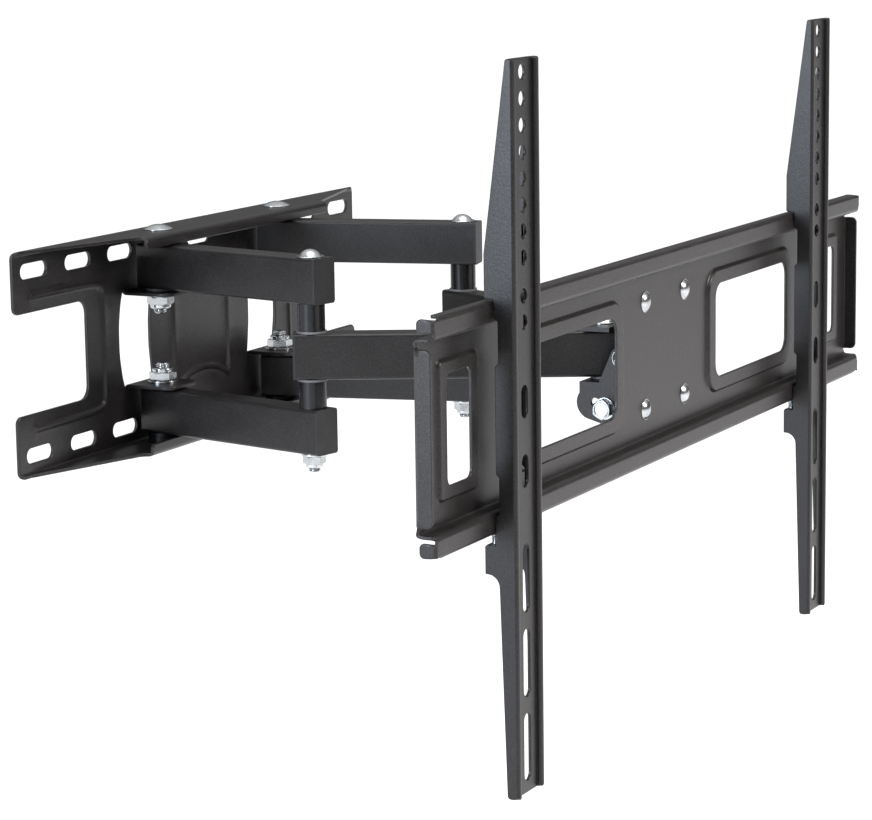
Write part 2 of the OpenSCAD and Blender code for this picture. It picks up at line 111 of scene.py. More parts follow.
def add_bump(nodes, links, shader, sources):
    """Chains bumps, each (height socket, strength, distance in metres)."""
    last = None
    for height, strength, distance in sources:
        bump = nodes.new("ShaderNodeBump")
        bump.inputs["Strength"].default_value = strength
        bump.inputs["Distance"].default_value = distance
        links.new(height, bump.inputs["Height"])
        if last is not None:
            links.new(last.outputs["Normal"], bump.inputs["Normal"])
        last = bump
    links.new(last.outputs["Normal"], shader.inputs["Normal"])


def powder_coat(name, dark, light, roughness):
    """Fine orange-peel powder coat on steel, a little uneven in tone."""
    mat, nodes, links, shader, coord = material(name, dark, roughness, specular=0.38)
    cloud = noise(nodes, links, coord, scale=38, detail=4, rough=0.6)
    speck = noise(nodes, links, coord, scale=1050, detail=2, rough=0.6)
    peel = noise(nodes, links, coord, scale=520, detail=2, rough=0.5)
    mid = tuple((a + b) / 2 for a, b in zip(dark, light))
    tone = ramp(nodes, links, cloud.outputs["Fac"], [(0.3, dark), (0.5, mid), (0.72, light)])
    fleck = ramp(nodes, links, speck.outputs["Fac"], [(0.36, (0.4,) * 3), (0.66, (2.3,) * 3)])
    mix = nodes.new("ShaderNodeMix")
    mix.data_type = "RGBA"
    mix.blend_type = "MULTIPLY"
    mix.inputs["Factor"].default_value = 0.8
    links.new(tone.outputs["Color"], mix.inputs["A"])
    links.new(fleck.outputs["Color"], mix.inputs["B"])
    links.new(mix.outputs["Result"], shader.inputs["Base Color"])
    rough = to_range(nodes, links, cloud.outputs["Fac"], low=roughness - 0.05, high=roughness + 0.07)
    links.new(rough.outputs["Result"], shader.inputs["Roughness"])
    add_bump(nodes, links, shader, [(peel.outputs["Fac"], 0.4, 0.16 * MM), (speck.outputs["Fac"], 0.5, 0.1 * MM)])
    return mat


def zinc_plate(name, base, dull, roughness):
    """Bright zinc plating with faint cloudy passivation."""
    mat, nodes, links, shader, coord = material(name, base, roughness, metallic=1.0)
    cloud = noise(nodes, links, coord, scale=160, detail=4, rough=0.6)
    grain = noise(nodes, links, coord, scale=2400, detail=2, rough=0.5)
    tone = ramp(nodes, links, cloud.outputs["Fac"], [(0.3, dull), (0.62, base)])
    links.new(tone.outputs["Color"], shader.inputs["Base Color"])
    rough = to_range(nodes, links, cloud.outputs["Fac"], low=roughness - 0.08, high=roughness + 0.14)
    links.new(rough.outputs["Result"], shader.inputs["Roughness"])
    add_bump(nodes, links, shader, [(grain.outputs["Fac"], 0.25, 0.04 * MM)])
    return mat


def moulded_plastic(name, dark, light, roughness=0.5):
    """Moulded plastic with a fine matt grain."""
    mat, nodes, links, shader, coord = material(name, dark, roughness, specular=0.4)
    cloud = noise(nodes, links, coord, scale=90, detail=3, rough=0.5)
    grain = noise(nodes, links, coord, scale=1300, detail=3, rough=0.6)
    tone = ramp(nodes, links, cloud.outputs["Fac"], [(0.3, dark), (0.7, light)])
    links.new(tone.outputs["Color"], shader.inputs["Base Color"])
    rough = to_range(nodes, links, grain.outputs["Fac"], low=roughness - 0.08, high=roughness + 0.1)
    links.new(rough.outputs["Result"], shader.inputs["Roughness"])
    add_bump(nodes, links, shader, [(grain.outputs["Fac"], 0.3, 0.08 * MM)])
    return mat


COAT = powder_coat("powder_coat_black", (0.0066, 0.0060, 0.0062), (0.0104, 0.0094, 0.0096), roughness=0.34)
# The screen plate gets a lighter copy of the black powder coat. This is painted light: it stands in for the brighter
# sheen its panel catches, and the real coat is probably one colour with the rest.
PLATE_COAT_PAINTED_LIGHTER = powder_coat("powder_coat_plate_painted_lighter", (0.0105, 0.0093, 0.0095), (0.0166, 0.0147, 0.0148), roughness=0.34)
ZINC = zinc_plate("zinc_plated_steel", (0.56, 0.58, 0.59), (0.38, 0.40, 0.42), roughness=0.18)
PLASTIC = moulded_plastic("black_plastic", (0.012, 0.012, 0.014), (0.020, 0.020, 0.022))
SPACER = moulded_plastic("black_spacer", (0.004, 0.004, 0.005), (0.008, 0.008, 0.010), roughness=0.24)
WASHER = moulded_plastic("grey_slip_washer", (0.10, 0.10, 0.105), (0.14, 0.14, 0.145), roughness=0.45)

# ------------------------------------------------------------------ meshes


def new_object(name, points, faces, mat, body, smooth):
    mesh = bpy.data.meshes.new(name)
    mesh.from_pydata([tuple(p) for p in points], [], faces)
    mesh.validate()
    mesh.update()
    mesh.materials.append(mat)
    obj = bpy.data.objects.new(name, mesh)
    bpy.context.scene.collection.objects.link(obj)
    shade(obj, smooth)
    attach(obj, body)
    return obj


def shade(obj, angle):
    """Smooth shading with sharp edges kept above the angle, flat faces kept flat."""
    mesh = obj.data
    mesh.polygons.foreach_set("use_smooth", [True] * len(mesh.polygons))
    mesh.set_sharp_from_angle(angle=math.radians(angle))
    weighted = obj.modifiers.new("weighted", "WEIGHTED_NORMAL")
    weighted.keep_sharp = True
    weighted.weight = 80


MOST_OF_SIDE = 0.49                      # a rounded corner may take this share of a side
NEARLY_STRAIGHT = math.radians(88.5)     # half angle past which a corner isn't rounded
FAR = 1e9


def arc(cx, cy, r, start, end, n):
    """Points on an arc, angles in degrees."""
    angles = np.radians(np.linspace(start, end, n + 1))
    return [(cx + r * math.cos(a), cy + r * math.sin(a)) for a in angles]


def round_corners(points, radii, n=7):
    """A closed polygon with each corner rounded by its radius, n steps to a corner."""
    count = len(points)
    if not hasattr(radii, "__len__"):
        radii = [radii] * count
    out = []
    for i in range(count):
        p0, p1, p2 = (np.array(points[(i + k) % count], float) for k in (-1, 0, 1))
        a, b = p0 - p1, p2 - p1
        la, lb = np.linalg.norm(a), np.linalg.norm(b)
        a, b = a / la, b / lb
        half = math.acos(max(-1.0, min(1.0, float(a @ b)))) / 2
        r = radii[i]
        if r <= 0 or half > NEARLY_STRAIGHT:
            out.append(tuple(p1))
            continue
        reach = min(r / math.tan(half), la * MOST_OF_SIDE, lb * MOST_OF_SIDE)
        r = reach * math.tan(half)
        centre = p1 + (a + b) / np.linalg.norm(a + b) * (r / math.sin(half))
        s, e = p1 + a * reach - centre, p1 + b * reach - centre
        a0, a1 = math.atan2(s[1], s[0]), math.atan2(e[1], e[0])
        turn = (a1 - a0 + math.pi) % (2 * math.pi) - math.pi
        for k in range(n + 1):
            t = a0 + turn * k / n
            out.append((centre[0] + r * math.cos(t), centre[1] + r * math.sin(t)))
    return out


def slot_loop(cx, cy, length, width, along_y=False, n=12):
    """A slot with round ends, its length measured over the ends."""
    r, h = width / 2, (length - width) / 2
    pts = arc(h, 0, r, -90, 90, n) + arc(-h, 0, r, 90, 270, n)
    return [(cx - y, cy + x) if along_y else (cx + x, cy + y) for x, y in pts]


def circle_loop(cx, cy, r, n=32):
    return arc(cx, cy, r, 0, 360 * (n - 1) / n, n - 1)


def densify(loop, step):
    """The closed loop with points added so that none is further than step from the next."""
    out = []
    for p, q in zip(loop, loop[1:] + loop[:1]):
        n = max(1, int(math.ceil(math.dist(p, q) / step)))
        out += [(p[0] + (q[0] - p[0]) * k / n, p[1] + (q[1] - p[1]) * k / n) for k in range(n)]
    return out


def offset_loop(loop, dist, sharpest=1.6):
    """The loop moved to its left by dist, and at a sharp corner by no more than sharpest times that."""
    p = np.array(loop, float)
    d1 = p - np.roll(p, 1, 0)
    d2 = np.roll(p, -1, 0) - p
    d1 /= np.maximum(np.linalg.norm(d1, axis=1), 1e-9)[:, None]
    d2 /= np.maximum(np.linalg.norm(d2, axis=1), 1e-9)[:, None]
    n1 = np.stack([-d1[:, 1], d1[:, 0]], 1)
    n2 = np.stack([-d2[:, 1], d2[:, 0]], 1)
    m = n1 + n2
    m /= np.maximum((m * m).sum(1), 1e-6)[:, None] / 2
    grow = np.linalg.norm(m, axis=1)
    m *= np.minimum(1.0, sharpest / np.maximum(grow, 1e-9))[:, None]
    return [tuple(q) for q in p + m * dist]


def area(loop):
    p = np.array(loop, float)
    q = np.roll(p, -1, 0)
    return float((p[:, 0] * q[:, 1] - q[:, 0] * p[:, 1]).sum() / 2)


def inside(points, loop):
    """Which points lie inside the closed loop."""
    x, y = points[:, 0], points[:, 1]
    hit = np.zeros(len(points), bool)
    p = np.array(loop, float)
    q = np.roll(p, -1, 0)
    for (x0, y0), (x1, y1) in zip(p, q):
        if y0 == y1:
            continue
        cross = (y0 > y) != (y1 > y)
        hit ^= cross & (x < (x1 - x0) * (y - y0) / (y1 - y0) + x0)
    return hit


def near(points, loop):
    """Distance of each point from the closed loop."""
    p = np.array(loop, float)
    return distance_to(points, p, np.roll(p, -1, 0))


def distance_to(points, starts, ends):
    """Distance of each point from the nearest of the straight lines between starts and ends."""
    best = np.full(len(points), FAR)
    for a, b in zip(starts, ends):
        d = b - a
        t = np.clip(((points - a) @ d) / max(float(d @ d), 1e-12), 0, 1)
        best = np.minimum(best, np.linalg.norm(points - a - t[:, None] * d, axis=1))
    return best


def clearance(points, loops):
    """Distance of each point from the nearest of several closed loops."""
    best = np.full(len(points), FAR)
    for loop in loops:
        best = np.minimum(best, near(points, loop))
    return best


def on_sheet(points, outline, holes):
    """Which points lie inside the outline and outside every hole."""
    on = inside(points, outline)
    for hole in holes:
        on &= ~inside(points, hole)
    return on


class Profile:
    """The middle line of a bent sheet's section, as straight runs (length,) and bends (radius, turn in degrees).

    Positive bends turn left. Lengths along it are counted from zero.
    """

    def __init__(self, start, heading, parts, zero=0.0):
        self.parts = []
        s, p, h = -zero, np.array(start, float), math.radians(heading)
        for part in parts:
            if len(part) == 1:
                length, curve = part[0], 0.0
            else:
                radius, turn = part
                length, curve = radius * math.radians(abs(turn)), math.copysign(1 / radius, turn)
            self.parts.append((s, s + length, p.copy(), h, curve))
            if curve:
                turn = curve * length
                left = np.array([-math.sin(h), math.cos(h)])
                centre = p + left / curve
                h2 = h + turn
                p = centre - np.array([-math.sin(h2), math.cos(h2)]) / curve
                h = h2
            else:
                p = p + length * np.array([math.cos(h), math.sin(h)])
            s += length
        self.start, self.end = self.parts[0][0], s

    def place(self, s, n):
        """2D points at length s along the section and n to its left."""
        out = np.zeros((len(s), 2))
        for i, (s0, s1, p, h, curve) in enumerate(self.parts):
            first, last = i == 0, i == len(self.parts) - 1
            pick = ((s >= s0) | first) & ((s < s1) | last)
            t = s[pick] - s0
            if curve:
                hh = h + curve * t
                centre = p + np.array([-math.sin(h), math.cos(h)]) / curve
                left = np.stack([-np.sin(hh), np.cos(hh)], 1)
                out[pick] = centre - left / curve + left * n[pick][:, None]
            else:
                out[pick] = (
                    p
                    + t[:, None] * np.array([math.cos(h), math.sin(h)])
                    + np.array([-math.sin(h), math.cos(h)]) * n[pick][:, None]
                )
        return out

    def rows(self, per_bend=8):
        """Lengths at which the section needs a row of points."""
        out = []
        for s0, s1, _, _, curve in self.parts:
            out += list(np.linspace(s0, s1, per_bend + 1)) if curve else [s0, s1]
        return sorted(set(round(v, 4) for v in out))


RIM_STEP, GUIDE_STEP, ROW_STEP = 4.0, 5.0, 0.5      # mm between points along edges, guide loops and rows
ROW_PICK = 10                                        # every tenth row point is kept
ROUNDING = (0.0, 0.13, 0.5, 1.0)                     # where the rounded edge gets points, as shares of its width


def sheet_mesh(outline, holes, thick, place, raise_by=None, rows=(), loops=(), grid=9.0, edge=0.55, keep=None):
    """A sheet cut to an outline with holes, its edges rounded over, its face raised by raise_by and bent by place.

    Outline, holes, rows and loops are in the flat sheet's own (u, v). Rows are levels of v that get points, for
    bends, and loops are closed lines that the mesh follows, for pressed shapes. keep is 0 where an edge stays
    square, because another sheet joins it there. Returns points in mm and faces.
    """
    outline = densify(outline if area(outline) > 0 else outline[::-1], RIM_STEP)
    holes = [densify(h if area(h) < 0 else h[::-1], RIM_STEP) for h in holes]
    rims = [outline, *holes]
    links, verts = [], []

    def add_chain(chain, closed):
        base, n = len(verts), len(chain)
        verts.extend(chain)
        links.extend((base + i, base + (i + 1) % n) for i in range(n if closed else n - 1))

    for rim in rims:
        for share in ROUNDING:
            add_chain(offset_loop(rim, edge * share), closed=True)
    for loop in loops:
        add_chain(densify(loop, GUIDE_STEP), closed=True)
    box = np.array(outline)
    (u0, v0), (u1, v1) = box.min(0), box.max(0)
    for v in rows:
        count = int((u1 - u0) / ROW_STEP) + 1
        line = np.stack([np.linspace(u0, u1, count), np.full(count, v)], 1)
        free = on_sheet(line, outline, holes) & (clearance(line, rims) > edge * 1.25)
        run = []
        for point, is_free in [*zip(line, free), (None, False)]:
            if is_free:
                run.append(tuple(point))
                continue
            if len(run) > 1:
                picks = sorted({0, len(run) - 1, *range(0, len(run), ROW_PICK)})
                add_chain([run[i] for i in picks], closed=False)
            run = []
    across = np.linspace(u0, u1, max(2, int((u1 - u0) / grid)) + 1)
    levels = np.linspace(v0, v1, max(2, int((v1 - v0) / grid)) + 1)
    levels = [v for v in levels if all(abs(v - r) > grid * 0.4 for r in rows)]
    spots = np.array([(u, v) for v in levels for u in across], float)
    spots = spots[on_sheet(spots, outline, holes)]
    spots = spots[clearance(spots, rims) > edge * 1.6]
    spots = spots[clearance(spots, loops) > 1.2]
    verts.extend(map(tuple, spots))

    co, _, tris, _, _, _ = delaunay_2d_cdt([Vector(v) for v in verts], links, [], 0, 1e-5)
    co = np.array([tuple(c) for c in co], float)
    tris = np.array([t for t in tris if len(t) == 3], int)
    tris = tris[on_sheet(co[tris].mean(1), outline, holes)]
    used = np.unique(tris)
    renumbered = np.full(len(co), -1)
    renumbered[used] = np.arange(len(used))
    co, tris = co[used], renumbered[tris]
    clockwise = np.cross(co[tris[:, 1]] - co[tris[:, 0]], co[tris[:, 2]] - co[tris[:, 0]]) < 0
    tris[clockwise] = tris[clockwise][:, ::-1]

    inset = np.clip(clearance(co, rims), 0, edge)
    drop = edge - np.sqrt(np.maximum(edge * edge - (edge - inset) ** 2, 0))
    if keep is not None:
        drop = drop * keep(co)
    lift = raise_by(co) if raise_by is not None else np.zeros(len(co))
    top = place(co[:, 0], co[:, 1], lift + thick / 2 - drop)
    low = place(co[:, 0], co[:, 1], lift - thick / 2 + drop)
    n = len(co)
    directed = dict.fromkeys((t[i], t[(i + 1) % 3]) for t in tris for i in range(3))
    rim_edges = [(a, b) for a, b in directed if (b, a) not in directed]
    faces = [tuple(int(i) for i in t) for t in tris]
    faces += [tuple(int(i) + n for i in t[::-1]) for t in tris]
    faces += [(int(b), int(a), int(a) + n, int(b) + n) for a, b in rim_edges]
    return np.vstack([top, low]), faces


def smooth_step(x):
    x = np.clip(x, 0, 1)
    return x * x * (3 - 2 * x)


def box_distance(p, cx, cy, hw, hh, r):
    """Signed distance from a rounded rectangle, negative inside."""
    qx, qy = np.abs(p[:, 0] - cx) - hw + r, np.abs(p[:, 1] - cy) - hh + r
    return np.minimum(np.maximum(qx, qy), 0) + np.hypot(np.maximum(qx, 0), np.maximum(qy, 0)) - r


def rounded_rect(cx, cy, hw, hh, r, n=8):
    return (
        arc(cx + hw - r, cy + hh - r, r, 0, 90, n)
        + arc(cx - hw + r, cy + hh - r, r, 90, 180, n)
        + arc(cx - hw + r, cy - hh + r, r, 180, 270, n)
        + arc(cx + hw - r, cy - hh + r, r, 270, 360, n)
    )


def section_yz(profile):
    """Places a sheet whose u runs along X and whose v runs along a section of (forward, up)."""

    def place(u, v, n):
        q = profile.place(v, n)
        return np.stack([u, -q[:, 0], q[:, 1]], 1)

    return place


def section_xy(profile):
    """Places a sheet whose u runs along a section of (across, forward) and whose v runs up."""

    def place(u, v, n):
        q = profile.place(u, n)
        return np.stack([q[:, 0], -q[:, 1], v], 1)

    return place


def moved_forward(part, forward):
    return np.array(part[0], float) - np.array([0, forward, 0]), part[1]


def flipped(part):
    """The part with its faces turned over, for a sheet whose place mirrors it."""
    points, faces = part
    return points, [tuple(f[::-1]) for f in faces]


def joined(*parts):
    """Several (points, faces) as one."""
    points, faces, base = [], [], 0
    for p, f in parts:
        points.append(np.array(p, float))
        faces += [tuple(i + base for i in face) for face in f]
        base += len(p)
    return np.vstack(points), faces


def mirrored(part, axis=0):
    """The part mirrored through zero of an axis, 0 for left and right and 2 for up and down."""
    points = np.array(part[0], float)
    points[:, axis] *= -1
    return flipped((points, part[1]))


def four_corners(right, radii):
    """A closed outline from its upper right quarter, with the corner radii to match."""
    outline = (
        right
        + [(-x, v) for x, v in right[::-1]]
        + [(-x, -v) for x, v in right]
        + [(x, -v) for x, v in right[::-1]]
    )
    return outline, (radii + radii[::-1]) * 2


def piece(name, part, mat, body, stands_for, smooth=35):
    """An object from (points in mm, faces) that rides on a body and replaces the CAD nodes it stands for."""
    points, faces = part
    obj = new_object(name, np.array(points, float) * MM, faces, mat, body, smooth)
    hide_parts(*stands_for)


# ------------------------------------------------------------------ sizes in mm, as the CAD frame has them


def box_mm(node):
    """A node's lowest and highest corner in mm."""
    return [[round(v / MM, 3) for v in corner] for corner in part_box(node)]


_, (WALL_X, _, WALL_Z) = box_mm("wall_plate")
(_, plate_front, _), (PLATE_X, _, _) = box_mm("screen_plate")
(left_bracket_x, _, BRACKET_LOW), (_, _, BRACKET_HIGH) = box_mm("left_screen_bracket")
(right_bracket_x, _, _), _ = box_mm("right_screen_bracket")
ROW_IN = 18.5                            # from a bracket's left side to its row of holes
LEFT_ROW, RIGHT_ROW = left_bracket_x + ROW_IN, right_bracket_x + ROW_IN
SCREEN = -plate_front - 11.0             # front of the screen plate's panel, forward of the wall
HEAD = SCREEN - 31.0                     # axis of the head pivots, forward of the wall
WALL_T, SCREEN_T = 2.5, 2.0              # sheet thickness
WALL_PIVOT_X, WALL_PIVOT = 80.0, 20.0    # axis of the rear arms' pivots, across and forward

# ------------------------------------------------------------------ wall plate

WINDOW_IN, WINDOW_OUT, WINDOW_Z = 62.8, 99.2, 34.5
SLOT_STEP = 50.8
RIB_HEIGHT, EAR_RIB_HALF, MIDDLE_RIB_HALF = -1.9, 2.1, 2.4      # pressed forward, away from the wall


def smooth_path(points, passes=2):
    """The open line with its corners cut off, twice over."""
    path = np.array(points, float)
    for _ in range(passes):
        cut = [path[0]]
        for a, b in zip(path[:-1], path[1:]):
            cut += [a * 0.75 + b * 0.25, a * 0.25 + b * 0.75]
        path = np.array([*cut, path[-1]])
    return path


def down_again(points):
    """A line that ends at level zero, carried on as its mirror image below."""
    return points + [(x, -z) for x, z in points[-2::-1]]


def wall_ribs():
    """The pressed ribs, each (centre line, half width)."""
    ear = down_again([(208, 43.5), (150, 43.0), (129, 42.0), (124.5, 38.0), (124.5, 30.0), (124.0, 0.0)])
    arch = down_again([(0, 32.0), (18, 34.5), (30, 39.5), (36, 42.0), (37, 36.0), (36, 20.0), (36, 0.0)])
    arch += [(-x, z) for x, z in arch[-2:0:-1]]
    ribs = [([(side * x, z) for x, z in ear], EAR_RIB_HALF) for side in (-1, 1)]
    ribs.append((arch + arch[:1], MIDDLE_RIB_HALF))
    return [(smooth_path(path), half) for path, half in ribs]


def rib_guides(ribs):
    """Lines beside each rib that the mesh follows, there and back as closed loops."""
    guides = []
    for path, half in ribs:
        step = np.gradient(path, axis=0)
        step /= np.linalg.norm(step, axis=1)[:, None]
        across = np.stack([-step[:, 1], step[:, 0]], 1)
        for share in (-1.5, -0.9, -0.35, 0.35, 0.9, 1.5):
            line = [tuple(q) for q in path + across * share * half]
            guides.append(line + line[::-1][1:-1])
    return guides


def wall_plate():
    bend, lip_run, flange_run, low_run = 2.75, 4.5, 30.0, 70.0
    quarter = bend * math.pi / 2
    section = Profile(
        (36.75, -65.5), -90,
        [
            (lip_run,), (bend, -90), (flange_run,), (bend, -90), (2 * low_run,), (bend, -90), (flange_run,),
            (bend, -90), (lip_run,),
        ],
        zero=lip_run + quarter + flange_run + quarter + low_run,
    )
    flange = low_run + quarter                   # the flange starts here, 4 mm forward
    lip = flange + flange_run + quarter + lip_run

    def on_flange(forward):
        return flange + forward - 4.0

    outline = round_corners(*four_corners(
        [
            (144, 33), (WALL_X, 33), (WALL_X, WALL_Z + 0.2), (216, WALL_Z + 0.4), (126, on_flange(30.0)),
            (122.9, on_flange(34.0)), (122.9, lip),
        ],
        [9, 5, 7, 2, 8, 4, 3],
    ))
    window = round_corners(
        [
            (WINDOW_IN, WINDOW_Z), (WINDOW_OUT, WINDOW_Z), (102.5, 25), (105.3, 10), (105.3, -10), (102.5, -25),
            (WINDOW_OUT, -WINDOW_Z), (WINDOW_IN, -WINDOW_Z), (64.6, -22), (66.2, -8), (66.2, 8), (64.6, 22),
        ],
        [1.5, 2.5, 40, 60, 60, 40, 2.5, 1.5, 40, 60, 60, 40], 6,
    )
    holes = [window, [(-x, v) for x, v in window]]
    for column in (-4, -3, -2, 0, 2, 3, 4):
        for level in (-60, 60):
            holes.append(slot_loop(column * SLOT_STEP, level, length=30, width=10))
    ribs = wall_ribs()

    def raise_by(co):
        out = np.zeros(len(co))
        for path, half in ribs:
            out += RIB_HEIGHT * smooth_step(1 - distance_to(co, path[:-1], path[1:]) / (half * 1.5))
        return out

    def square_at_tabs(co):
        x, z = np.abs(co[:, 0]), np.abs(co[:, 1])
        at_tab = (x > WINDOW_IN + 0.1) & (x < WINDOW_OUT - 0.1) & (np.abs(z - WINDOW_Z) < 1)
        return np.where(at_tab, 0.0, 1.0)

    body = sheet_mesh(
        outline, holes, WALL_T, section_yz(section), raise_by, rows=section.rows(7), loops=rib_guides(ribs),
        grid=8.0, edge=0.6, keep=square_at_tabs,
    )
    # four tabs bent forward out of the windows, for the rear arms' pivots
    tab_in, tab_out, tab_run = 63, 99, 35.0
    tab_end = quarter + tab_run
    tab_section = Profile((WALL_T / 2, WINDOW_Z), -90, [(bend, 90), (tab_run,)])
    tab = sheet_mesh(
        round_corners([(tab_in, 0), (tab_out, 0), (tab_out, tab_end), (tab_in, tab_end)], [0, 0, 8, 8]),
        [circle_loop(WALL_PIVOT_X, quarter + WALL_PIVOT - 4, 5.1)], WALL_T, section_yz(tab_section),
        rows=tab_section.rows(7), edge=0.6, grid=8.0, keep=lambda co: smooth_step((co[:, 1] - 0.2) / 1.0),
    )
    return joined(body, tab, mirrored(tab), mirrored(tab, 2), mirrored(mirrored(tab), 2))


piece("wall_plate_sheet", wall_plate(), COAT, "wall", ["wall_plate"])

# ------------------------------------------------------------------ screen plate

FRAME_HEIGHT, FRAME_SLOPE = 2.4, 2.6     # raised frames round the windows


def screen_plate():
    big, mid, small = 2.5, 2.5, 2.25
    b, m, k = (r * math.pi / 2 for r in (big, mid, small))
    lip_run, rail_run, shelf_run, panel_half = 3.75, 7.25, 6.0, 52.5
    section = Profile(
        (4.0, -67.0), 0,
        [
            (lip_run,), (small, 90), (rail_run,), (mid, 90), (shelf_run,), (big, -90), (2 * panel_half,),
            (big, -90), (shelf_run,), (mid, 90), (rail_run,), (small, 90), (lip_run,),
        ],
        zero=lip_run + k + rail_run + m + shelf_run + b + panel_half,
    )
    top = section.end
    rail = panel_half + b + shelf_run + m        # the rail's front starts here, at height 57.5
    end_x = PLATE_X - 2.5
    outline = round_corners(*four_corners(
        [
            (end_x, 50.0), (PLATE_X, 54.0), (PLATE_X, rail - 3.0), (end_x, rail - 1.0), (end_x, rail + 8.0),
            (345, rail + 9.5), (345, top),
        ],
        [2, 3, 2, 1, 1.5, 1.5, 1.5],
    ), 5)
    holes, frames = [], []
    for side in (-1, 1):
        holes += [rounded_rect(side * 152.5, 0, 68.5, 32, 10), rounded_rect(side * 306.5, 0, 15.5, 32, 5)]
        frames += [(side * 153.0, 0, 82.0, 43.0, 17.0), (side * 306.0, 0, 26.0, 41.0, 5.0)]
    guides = [
        rounded_rect(cx, cy, half_x - d, half_z - d, r - d)
        for cx, cy, half_x, half_z, r in frames
        for d in (0.0, 0.5, 1.0, 1.6, 2.1, FRAME_SLOPE)
    ]

    def raise_by(co):
        out = np.zeros(len(co))
        for window_frame in frames:
            out -= FRAME_HEIGHT * smooth_step(-box_distance(co, *window_frame) / FRAME_SLOPE)
        return out

    def square_at_ends(co):
        x, z = np.abs(co[:, 0]), np.abs(co[:, 1])
        at_end = (x > end_x - 1.5) & ((z < 49.4) | ((z > rail - 0.5) & (z < rail + 7.5)))
        return np.where(at_end, 0.0, 1.0)

    body = sheet_mesh(
        outline, holes, SCREEN_T, section_yz(section), raise_by, rows=section.rows(6), loops=guides, grid=10.0,
        edge=0.5, keep=square_at_ends,
    )
    # end flanges bent forward, and the tabs that close the rail ends bent back
    bend = 1.5
    quarter = bend * math.pi / 2
    flange_end, tab_end = quarter + 8.5, quarter + 8.0

    def end_piece(start_forward, turn, run, corners, radii, grid):
        bent = Profile((end_x, start_forward), 0, [(bend, turn), (run,)])
        made = sheet_mesh(
            round_corners(corners, radii), [], SCREEN_T, section_xy(bent), grid=grid, edge=0.5,
            keep=lambda co: smooth_step((co[:, 0] - 0.2) / 0.8),
        )
        return moved_forward(made, SCREEN)

    flange = end_piece(-1.0, 90, 8.5, [(0, -50), (flange_end, -50), (flange_end, 50), (0, 50)], [0, 4, 4, 0], 2.0)
    tab = end_piece(10.0, -90, 8.0, [(0, 58.5), (tab_end, 58.0), (tab_end, 67.0), (0, 66.5)], [0, 3, 3, 0], 1.5)
    low_tab = mirrored(tab, 2)
    return joined(
        moved_forward(body, SCREEN), flange, mirrored(flange), tab, mirrored(tab), low_tab, mirrored(low_tab),
    )


# the plate's coat is painted a shade lighter than the rest, as painted light for its sheen
piece("screen_plate_sheet", screen_plate(), PLATE_COAT_PAINTED_LIGHTER, "screen", ["screen_plate"])

# ------------------------------------------------------------------ screen brackets

HOLE_R, SLOT_W = 4.3, 8.6
HOLE_STEP, FIRST_HOLE, HOLES_ABOVE, HOLES_BELOW = 15, 196, 8, (69, 54)
SHORT_SLOTS, LONG_SLOTS = (8, -32.5), (-95.5, -146, -196.5)
SCREW_SIDE, SCREW_FORWARD = -10, 7.5     # lock screw's axis, from the hole row and from the panel


